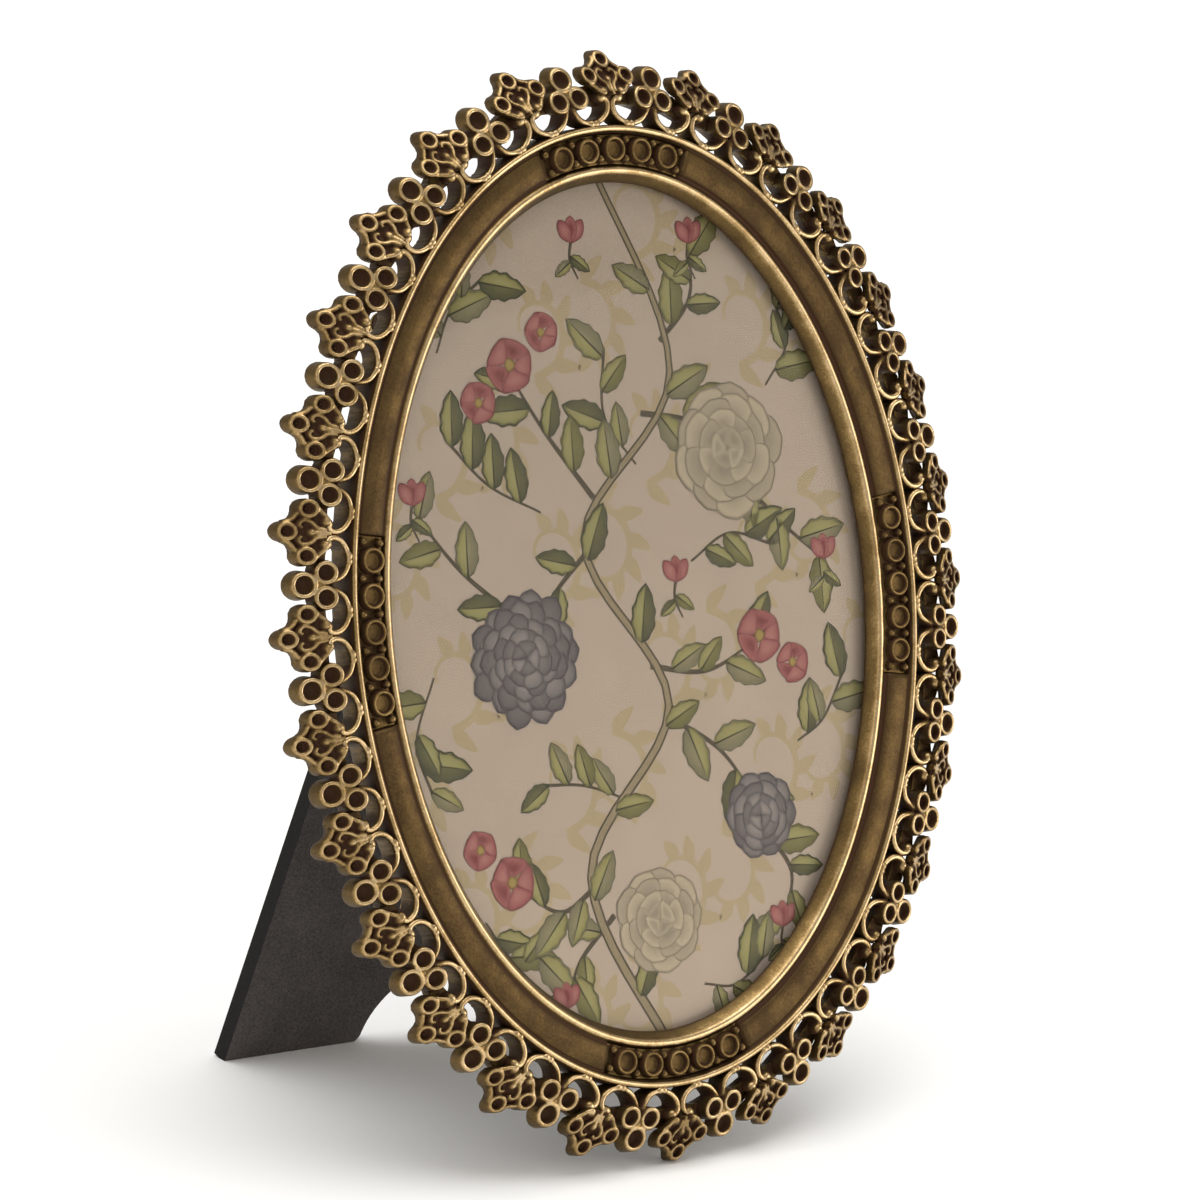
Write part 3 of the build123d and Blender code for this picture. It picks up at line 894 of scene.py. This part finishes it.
lit_length_share = 0.96
lit_width_share = 0.42
lit_right_share = 0.06
vein_share = 0.85
vein_widths = (0.45, 0.15)
petal_fullness = 2.4
petal_width_share = 7.2
petal_shift_share = 0.15
petal_length_shares = (0.92, 1.06)
ring_spread = 0.85
blossom_petals = 5
chance = random.Random(28)
ink_places = []
ink_faces = []
ink_colours = []


def ink(outline, heart, inks, layer):
    """A patch of ink: rings that shrink from its outline to its heart, each in its own colour."""
    count = len(outline)
    for share, colour in inks:
        ring = heart + (outline - heart) * share
        spread = np.hypot(ring[:, 0] / sheet_half_width, ring[:, 1] / sheet_half_height)
        ring = ring * np.minimum(1, ink_reach_share / np.maximum(spread, ink_reach_share))[:, None]
        first = len(ink_places)
        outer = first - count
        ink_places.extend((x, y, paper_face + ink_layer * layer) for x, y in ring)
        ink_colours.extend([linear(colour)] * count)
        if share < 1:
            for side in range(count):
                beside = (side + 1) % count
                ink_faces.append((outer + side, outer + beside, first + beside, first + side))
    ink_faces.append(tuple(range(first, first + count)))


def blade(x, y, heading, length, width, fullness, teeth, right_share=1.0):
    """The outline of a leaf or petal from its foot, and its heart; its right side can be narrower."""
    run = np.linspace(0, 1, blade_steps)
    swell = np.clip(np.sin(np.pi * run**fullness), 0, 1) ** blade_roundness
    half = width / 2 * swell * (1 + tooth_share * np.sin(2 * np.pi * teeth * run))
    along = np.concatenate([run, run[-2:0:-1]])[:, None] * length
    aside = np.concatenate([half, -half[-2:0:-1] * right_share])[:, None]
    ahead = np.array([math.cos(heading), math.sin(heading)])
    across = np.array([-ahead[1], ahead[0]])
    foot = np.array([x, y])
    heart = foot + ahead * length / 2 + across * width * (1 - right_share) / 6
    return foot + along * ahead + aside * across, heart


def stroke(marks, first_width, last_width, colour, layer):
    """A drawn line through marks, whose width changes evenly from one end to the other."""
    run = smooth_run(marks, stroke_steps)
    ways = headings(run)
    widths = np.linspace(first_width, last_width, len(run))
    aside = np.column_stack([-ways[:, 1], ways[:, 0]]) * widths[:, None] / 2
    right = run - aside
    left = run + aside
    for near in range(len(run) - 1):
        far = near + 1
        corners = np.array([right[near], right[far], left[far], left[near]])
        ink(corners, corners.mean(axis=0), [(1.0, colour)], layer)


def leaf(x, y, heading, length, layer):
    """A toothed leaf, lit on its left side, with a vein."""
    whole = blade(x, y, heading, length, length * leaf_width_share, leaf_fullness, leaf_teeth)
    ink(*whole, chance.choice(leaf_inks), layer)
    lit_length = length * lit_length_share
    lit_width = length * lit_width_share
    lit = blade(x, y, heading, lit_length, lit_width, leaf_fullness, leaf_teeth, lit_right_share)
    ink(*lit, lit_leaf_inks, layer + 1)
    tip = (x + math.cos(heading) * length * vein_share, y + math.sin(heading) * length * vein_share)
    stroke([(x, y), tip], *vein_widths, vein_colour, layer + 2)


def rosette(x, y, radius, petal_counts, inks, layer):
    """A full bloom: rings of petals that overlap from the outside in."""
    for ring, count in enumerate(petal_counts):
        reach = radius * (1 - ring / len(petal_counts)) ** ring_spread
        width = petal_width_share * reach / count
        for number in range(count):
            shift = chance.uniform(-petal_shift_share, petal_shift_share)
            heading = 2 * math.pi * (number + ring / 2 + shift) / count
            length = reach * chance.uniform(*petal_length_shares)
            petal = blade(x, y, heading, length, width, petal_fullness, 1)
            ink(*petal, inks[number % len(inks)], layer)
            layer += 1


def blossom(x, y, radius, layer):
    """A five-petalled blossom with a spot of pollen."""
    rosette(x, y, radius, (blossom_petals,), rose_inks, layer)
    spot = radius / 2
    ink(*blade(x - spot / 2, y, 0, spot, spot, 1, 1), pollen_inks, layer + blossom_petals + 1)


around = np.linspace(0, 2 * np.pi, sheet_sides, endpoint=False)
edge = np.column_stack([sheet_half_width * np.cos(around), sheet_half_height * np.sin(around)])
for height in (sheet_back, paper_face):
    ink_places.extend((x, y, height) for x, y in edge)
    ink_colours.extend([linear(paper_colour)] * sheet_sides)
ink_faces.append(tuple(range(sheet_sides - 1, -1, -1)))
ink_faces.append(tuple(range(sheet_sides, 2 * sheet_sides)))
for side in range(sheet_sides):
    beside = (side + 1) % sheet_sides
    ink_faces.append((side, beside, sheet_sides + beside, sheet_sides + side))

# Faint swirls, each with fronds along its outer turn, lie under everything else.
swirl_rows = 8
swirl_columns = 5
swirl_size = 9.5
swirl_turn = 1.5 * math.pi
swirl_marks = 9
swirl_bare_marks = 3
swirl_stagger_share = 0.25
swirl_shrink_share = 0.7
swirl_widths = (1.8, 0.6)
swirl_layer = 1
frond_turn = 0.9
frond_length_share = 0.75
frond_shrink_share = 0.4
frond_width_share = 0.3
frond_width = swirl_size * frond_width_share
for row in range(swirl_rows):
    for column in range(swirl_columns):
        hand = 1 if (row + column) % 2 else -1
        half_columns = (column - (swirl_columns - 1) / 2 + swirl_stagger_share * hand) * 2
        x = half_columns * sheet_half_width / swirl_columns
        y = (row - (swirl_rows - 1) / 2) * 2 * sheet_half_height / swirl_rows
        marks = []
        for mark in range(swirl_marks):
            share = mark / (swirl_marks - 1)
            angle = hand * (swirl_turn * share - math.pi / 2)
            reach = swirl_size * (1 - swirl_shrink_share * share)
            marks.append((x + reach * math.cos(angle), y + reach * math.sin(angle)))
            if mark < swirl_marks - swirl_bare_marks:
                length = swirl_size * (frond_length_share - frond_shrink_share * share)
                frond = blade(*marks[-1], angle + hand * frond_turn, length, frond_width, leaf_fullness, 1)
                ink(*frond, swirl_inks, swirl_layer)
        stroke(marks, *swirl_widths, swirl_inks[1][1], swirl_layer + 1)

# The vine climbs from foot to head, with leaves on it and on its twigs and loose sprigs.
vine_marks = [(5, -92), (-14, -52), (8, -20), (-10, 14), (14, 46), (-4, 92)]
twig_marks = [
    [(-13, -54), (-22, -58), (-32, -52)],
    [(7, -22), (20, -30), (29, -42)],
    [(4, -12), (18, -14), (31, -9)],
    [(-9, 12), (-18, 4), (-26, -6)],
    [(-7, 22), (-18, 36), (-25, 47)],
    [(6, 38), (18, 36), (26, 31)],
    [(12, 52), (20, 60), (21, 70)],
    [(-9, -60), (-18, -68), (-22, -76)],
    [(-25, -2), (-40, 10), (-50, 22)],
    [(27, 26), (40, 14), (50, 6)],
    [(29, -46), (36, -56), (33, -66)],
]
sprig_marks = [
    [(40, -30), (47, -26), (53, -17)],
    [(-48, -10), (-53, -22), (-50, -33)],
    [(38, 42), (44, 50), (42, 58)],
    [(-42, 52), (-38, 60), (-30, 66)],
    [(-3, -38), (-14, -34), (-24, -33)],
    [(16, 8), (26, 13), (37, 10)],
    [(-40, -58), (-34, -66), (-27, -66)],
    [(12, -76), (20, -77), (28, -72)],
    [(-20, 20), (-32, 26), (-41, 35)],
    [(4, 28), (-3, 38), (-2, 51)],
]
vine_edge_widths = (2.4, 1.6)
vine_widths = (1.5, 0.8)
twig_widths = (1.3, 0.5)
sprig_widths = (0.5, 0.7)
vine_layer = 4
twig_layer = 5
leaf_first_step = 3
leaf_every_steps = 4
leaf_turns = (0.6, 1.1)
leaf_lengths = (8, 12.5)
leaf_first_layer = 10
leaf_layers = 45
layers_per_leaf = 3
stroke(vine_marks, *vine_edge_widths, twig_edge_colour, vine_layer)
stroke(vine_marks, *vine_widths, twig_colour, vine_layer + 2)
for marks in twig_marks:
    stroke(marks, *twig_widths, twig_edge_colour, twig_layer)
for marks in sprig_marks:
    stroke(marks, *sprig_widths, twig_edge_colour, twig_layer)
leaf_layer = 0
for marks in [vine_marks] + twig_marks + sprig_marks:
    run = smooth_run(marks, stroke_steps)
    for number in range(leaf_first_step, len(run) - 1, leaf_every_steps):
        ahead = headings(run)[number]
        hand = chance.choice((-1, 1))
        heading = math.atan2(ahead[1], ahead[0]) + hand * chance.uniform(*leaf_turns)
        leaf(*run[number], heading, chance.uniform(*leaf_lengths), leaf_first_layer + leaf_layer)
        leaf_layer = (leaf_layer + layers_per_leaf) % leaf_layers

# Full blooms, blossoms and buds lie on top. A bud has a stem, two leaves and a fan of petals.
flower_layer = 60
rosette_marks = [
    (-26, -8, 13.5, (14, 13, 11, 8, 5), slate_inks),
    (27, 30, 14, (9, 8, 7, 5), cream_inks),
    (29, -44, 9, (10, 8, 6, 4), slate_inks),
    (2, -62, 11, (9, 8, 6, 4), cream_inks),
]
blossom_marks = [
    (-25, 49, 5.5),
    (-33, 42, 4.2),
    (-17, 55, 4),
    (32, -8, 5.5),
    (40, -14, 4.2),
    (-33, -51, 5.2),
    (-40, -44, 4),
]
bud_marks = [(21, 71), (-22, -77), (-50, 23), (50, 6), (33, -67), (-8, 72), (12, 4)]
bud_stem = [(0, 1), (-0.7, -3), (1, -7)]
bud_stem_widths = (0.8, 0.4)
bud_stem_layer = 7
bud_leaves = [(-0.5, -2.5, math.radians(-35), 5.5), (-0.5, -3.5, math.radians(215), 5)]
bud_leaf_layer = 56
bud_petals = 3
bud_petal_turn = 0.55
bud_petal_length = 5.5
bud_petal_width = 3.2
bud_petal_fullness = 1.3
for x, y, radius, petal_counts, inks in rosette_marks:
    rosette(x, y, radius, petal_counts, inks, flower_layer)
for x, y, radius in blossom_marks:
    blossom(x, y, radius, flower_layer)
for x, y in bud_marks:
    stem = [(x + aside, y + up) for aside, up in bud_stem]
    stroke(stem, *bud_stem_widths, twig_edge_colour, bud_stem_layer)
    for aside, up, heading, length in bud_leaves:
        leaf(x + aside, y + up, heading, length, bud_leaf_layer)
    for number in range(bud_petals):
        heading = math.pi / 2 + (number - (bud_petals - 1) / 2) * bud_petal_turn
        petal = blade(x, y, heading, bud_petal_length, bud_petal_width, bud_petal_fullness, 1)
        ink(*petal, rose_inks[number % len(rose_inks)], flower_layer + number)

sheet = stood_piece("floral_print", np.array(ink_places), ink_faces)
sheet.data.shade_flat()
laid_ink = sheet.data.attributes.new("ink", "FLOAT_COLOR", "POINT")
laid_ink.data.foreach_set("color", np.array(ink_colours).ravel())

# Matt paper: it shows a fine grain and faint clouds, and painted light makes it lighter towards its foot.
# The grain is drawn as coarse as it needs to show.
paper_grain = 0.4
paper_cloud = 14.0
painted_brightest_height = 30.0
painted_dimmest_height = 185.0
printed_paper, tree = bare_tree("matt_printed_paper")
where = add_node(tree, "ShaderNodeTexCoord", {}, {}).outputs["Object"]
inked = add_node(tree, "ShaderNodeAttribute", {"attribute_name": "ink"}, {}).outputs["Color"]
grain = add_node(
    tree,
    "ShaderNodeTexNoise",
    {"Scale": 1 / (paper_grain * millimetre), "Detail": 2.0},
    {"Vector": where},
)
cloud = add_node(
    tree,
    "ShaderNodeTexNoise",
    {"Scale": 1 / (paper_cloud * millimetre), "Detail": 3.0},
    {"Vector": where},
)
mixed = add_node(
    tree,
    "ShaderNodeMath",
    {"operation": "MULTIPLY_ADD", 1: 0.6},
    {0: cloud.outputs["Fac"], 2: grain.outputs["Fac"]},
)
shade = add_node(
    tree,
    "ShaderNodeMapRange",
    {"From Min": 0.45, "From Max": 1.15, "To Min": 0.88, "To Max": 1.1},
    {"Value": mixed.outputs[0]},
)
up = add_node(tree, "ShaderNodeSeparateXYZ", {}, {0: where}).outputs["Z"]
# Painted light: the sheet is drawn lighter low down and dimmer high up.
painted_light_by_height = add_node(
    tree,
    "ShaderNodeMapRange",
    {
        "From Min": painted_brightest_height * millimetre,
        "From Max": painted_dimmest_height * millimetre,
        "To Min": 1.28,
        "To Max": 0.96,
    },
    {"Value": up},
)
grain_and_painted_light = add_node(
    tree,
    "ShaderNodeMath",
    {"operation": "MULTIPLY"},
    {0: shade.outputs["Result"], 1: painted_light_by_height.outputs["Result"]},
)
toned = add_node(
    tree,
    "ShaderNodeVectorMath",
    {"operation": "SCALE"},
    {0: inked, "Scale": grain_and_painted_light.outputs[0]},
)
surface = add_node(tree, "ShaderNodeBsdfPrincipled", {"Roughness": 0.8}, {"Base Color": toned.outputs[0]})
add_node(tree, "ShaderNodeOutputMaterial", {}, {"Surface": surface.outputs[0]})
sheet.data.materials.append(printed_paper)
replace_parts(sheet, "print_sheet")

# Card, back board and easel leg: flecked grey pulp card fills the rebate, and fibreboard wrapped in matt
# black paper closes it. The leg is the same covered board: a soft, pale-flecked black, with painted shade
# making its faces that turn sideways blacker. Fibre and nap are drawn as coarse as they need to show.
card_fibre = 0.6
nap_size = 0.5
nap_depth = 0.05
cover_blotch = 12.0
grey_card, tree = bare_tree("grey_pulp_card")
where = add_node(tree, "ShaderNodeTexCoord", {}, {}).outputs["Object"]
fibre = add_node(tree, "ShaderNodeTexNoise", {"Scale": 1 / (card_fibre * millimetre)}, {"Vector": where})
card_stops = [(0.3, "#8d8578"), (0.7, "#aca496")]
tone = add_node(tree, "ShaderNodeValToRGB", {"stops": card_stops}, {"Fac": fibre.outputs["Fac"]})
surface = add_node(
    tree,
    "ShaderNodeBsdfPrincipled",
    {"Roughness": 0.9},
    {"Base Color": tone.outputs["Color"]},
)
add_node(tree, "ShaderNodeOutputMaterial", {}, {"Surface": surface.outputs[0]})
refinished(grey_card, "spacer_card")

black_cover, tree = bare_tree("black_paper_on_fibreboard")
where = add_node(tree, "ShaderNodeTexCoord", {}, {}).outputs["Object"]
nap = add_node(
    tree,
    "ShaderNodeTexNoise",
    {"Scale": 1 / (nap_size * millimetre), "Detail": 3.0},
    {"Vector": where},
)
rub = add_node(
    tree,
    "ShaderNodeTexNoise",
    {"Scale": 1 / (cover_blotch * millimetre), "Detail": 3.0},
    {"Vector": where},
)
mottle = add_node(
    tree,
    "ShaderNodeMath",
    {"operation": "MULTIPLY_ADD", 1: 0.45},
    {0: rub.outputs["Fac"], 2: nap.outputs["Fac"]},
)
cover_stops = [(0.5, "#3f3a38"), (0.95, "#5e5855")]
tone = add_node(tree, "ShaderNodeValToRGB", {"stops": cover_stops}, {"Fac": mottle.outputs[0]})
facing = add_node(tree, "ShaderNodeTexCoord", {}, {}).outputs["Normal"]
aside = add_node(tree, "ShaderNodeSeparateXYZ", {}, {0: facing}).outputs["X"]
turned_aside = add_node(tree, "ShaderNodeMath", {"operation": "ABSOLUTE"}, {0: aside})
# Painted shade: faces turned to the sides are drawn blacker.
painted_side_shade = add_node(
    tree,
    "ShaderNodeMapRange",
    {"From Min": 0.6, "From Max": 0.9, "To Min": 1.0, "To Max": 0.12},
    {"Value": turned_aside.outputs[0]},
)
side_shaded_tone = add_node(
    tree,
    "ShaderNodeVectorMath",
    {"operation": "SCALE"},
    {0: tone.outputs["Color"], "Scale": painted_side_shade.outputs["Result"]},
)
felt = add_node(
    tree,
    "ShaderNodeBump",
    {"Strength": 0.5, "Distance": nap_depth * millimetre},
    {"Height": nap.outputs["Fac"]},
)
surface = add_node(
    tree,
    "ShaderNodeBsdfPrincipled",
    {"Roughness": 0.85, "Specular IOR Level": 0.25},
    {"Base Color": side_shaded_tone.outputs[0], "Normal": felt.outputs["Normal"]},
)
add_node(tree, "ShaderNodeOutputMaterial", {}, {"Surface": surface.outputs[0]})
refinished(black_cover, "back_board", "easel_leg")

# Hinge, rivets, turn clips and screws: thin brassed steel, stamped and rolled. It gives a dull satin shine
# that clouds a little where the plating has worn. Scratches are drawn as coarse as they need to show.
plating_cloud = 3.0
plating_scratch = 0.25
brassed_steel, tree = bare_tree("brassed_stamped_steel")
where = add_node(tree, "ShaderNodeTexCoord", {}, {}).outputs["Object"]
cloud = add_node(
    tree,
    "ShaderNodeTexNoise",
    {"Scale": 1 / (plating_cloud * millimetre), "Detail": 4.0},
    {"Vector": where},
)
scratch = add_node(
    tree,
    "ShaderNodeTexNoise",
    {"Scale": 1 / (plating_scratch * millimetre)},
    {"Vector": where},
)
plating_stops = [(0.35, "#8f7747"), (0.7, "#bda06a")]
tone = add_node(tree, "ShaderNodeValToRGB", {"stops": plating_stops}, {"Fac": cloud.outputs["Fac"]})
satin = add_node(
    tree,
    "ShaderNodeMapRange",
    {"From Min": 0.3, "From Max": 0.7, "To Min": 0.28, "To Max": 0.45},
    {"Value": scratch.outputs["Fac"]},
)
surface = add_node(
    tree,
    "ShaderNodeBsdfPrincipled",
    {"Metallic": 1.0},
    {"Base Color": tone.outputs["Color"], "Roughness": satin.outputs["Result"]},
)
add_node(tree, "ShaderNodeOutputMaterial", {}, {"Surface": surface.outputs[0]})
clip_nodes = [
    "turn_clip_upper_left",
    "turn_clip_upper_right",
    "turn_clip_lower_left",
    "turn_clip_lower_right",
]
hinge_nodes = ["hinge_board_leaf", "hinge_leg_leaf", "hinge_pin", "board_rivets", "leg_rivets"]
refinished(brassed_steel, *hinge_nodes, *clip_nodes, "clip_screws")

# Floor, light and camera, in metres: a plain white floor, a low softbox on the right, a fill at the upper
# left and soft light all round. The camera stands to the left and a little above, turned slightly.
floor_half = 6.0
floor_corner_shares = [(-1, -1), (1, -1), (1, 1), (-1, 1)]
floor_colour = "#fbfbfa"
air_colour = "#fffdf9"
air_strength = 0.5
floor_mesh = bpy.data.meshes.new("floor")
floor_corners = [(x * floor_half, y * floor_half, 0) for x, y in floor_corner_shares]
floor_mesh.from_pydata(floor_corners, [], [(0, 1, 2, 3)])
floor = bpy.data.objects.new("floor", floor_mesh)
bpy.context.scene.collection.objects.link(floor)
floor_white, tree = bare_tree("white_studio_floor")
surface = add_node(
    tree,
    "ShaderNodeBsdfPrincipled",
    {"Base Color": linear(floor_colour), "Roughness": 0.9},
    {},
)
add_node(tree, "ShaderNodeOutputMaterial", {}, {"Surface": surface.outputs[0]})
floor_mesh.materials.append(floor_white)

air = bpy.data.worlds.new("studio_air")
bpy.context.scene.world = air
air.use_nodes = True
air.node_tree.nodes["Background"].inputs["Color"].default_value = linear(air_colour)
air.node_tree.nodes["Background"].inputs["Strength"].default_value = air_strength

# Each lamp: its name, place, size, power and colour.
lamps = [
    ("right_softbox", (0.5, -0.5, 0.14), 0.4, 1.65, "#fff6ea"),
    ("left_fill", (-0.9, -0.5, 0.6), 0.7, 1.5, "#fff8ee"),
]
lamp_aim = Vector((0, 0, 0.1))
for name, place, size, power, colour in lamps:
    light = bpy.data.lights.new(name, "AREA")
    light.size = size
    light.energy = power
    light.color = linear(colour)[:3]
    lamp = bpy.data.objects.new(name, light)
    lamp.location = place
    lamp.rotation_euler = (lamp_aim - Vector(place)).to_track_quat("-Z", "Y").to_euler()
    bpy.context.scene.collection.objects.link(lamp)

# A broad light straight down keeps the floor white to its far edge.
overhead_power = 2.1
overhead_spread = math.radians(60)
overhead = bpy.data.lights.new("overhead_panel", "SUN")
overhead.energy = overhead_power
overhead.angle = overhead_spread
bpy.context.scene.collection.objects.link(bpy.data.objects.new("overhead_panel", overhead))

camera_place = Vector((-0.5982, -0.7747, 0.3416))
camera_aim = Vector((-0.0115, -0.0187, 0.1096))
camera_roll = math.radians(5.1)
camera_lens = 151.64
camera_data = bpy.data.cameras.new("camera")
camera_data.lens = camera_lens
camera = bpy.data.objects.new("camera", camera_data)
camera.location = camera_place
upright = (camera_aim - camera_place).to_track_quat("-Z", "Y").to_matrix()
camera.rotation_euler = (upright @ Matrix.Rotation(camera_roll, 3, "Z")).to_euler()
bpy.context.scene.collection.objects.link(camera)
bpy.context.scene.camera = camera
bpy.context.scene.view_settings.view_transform = "Standard"
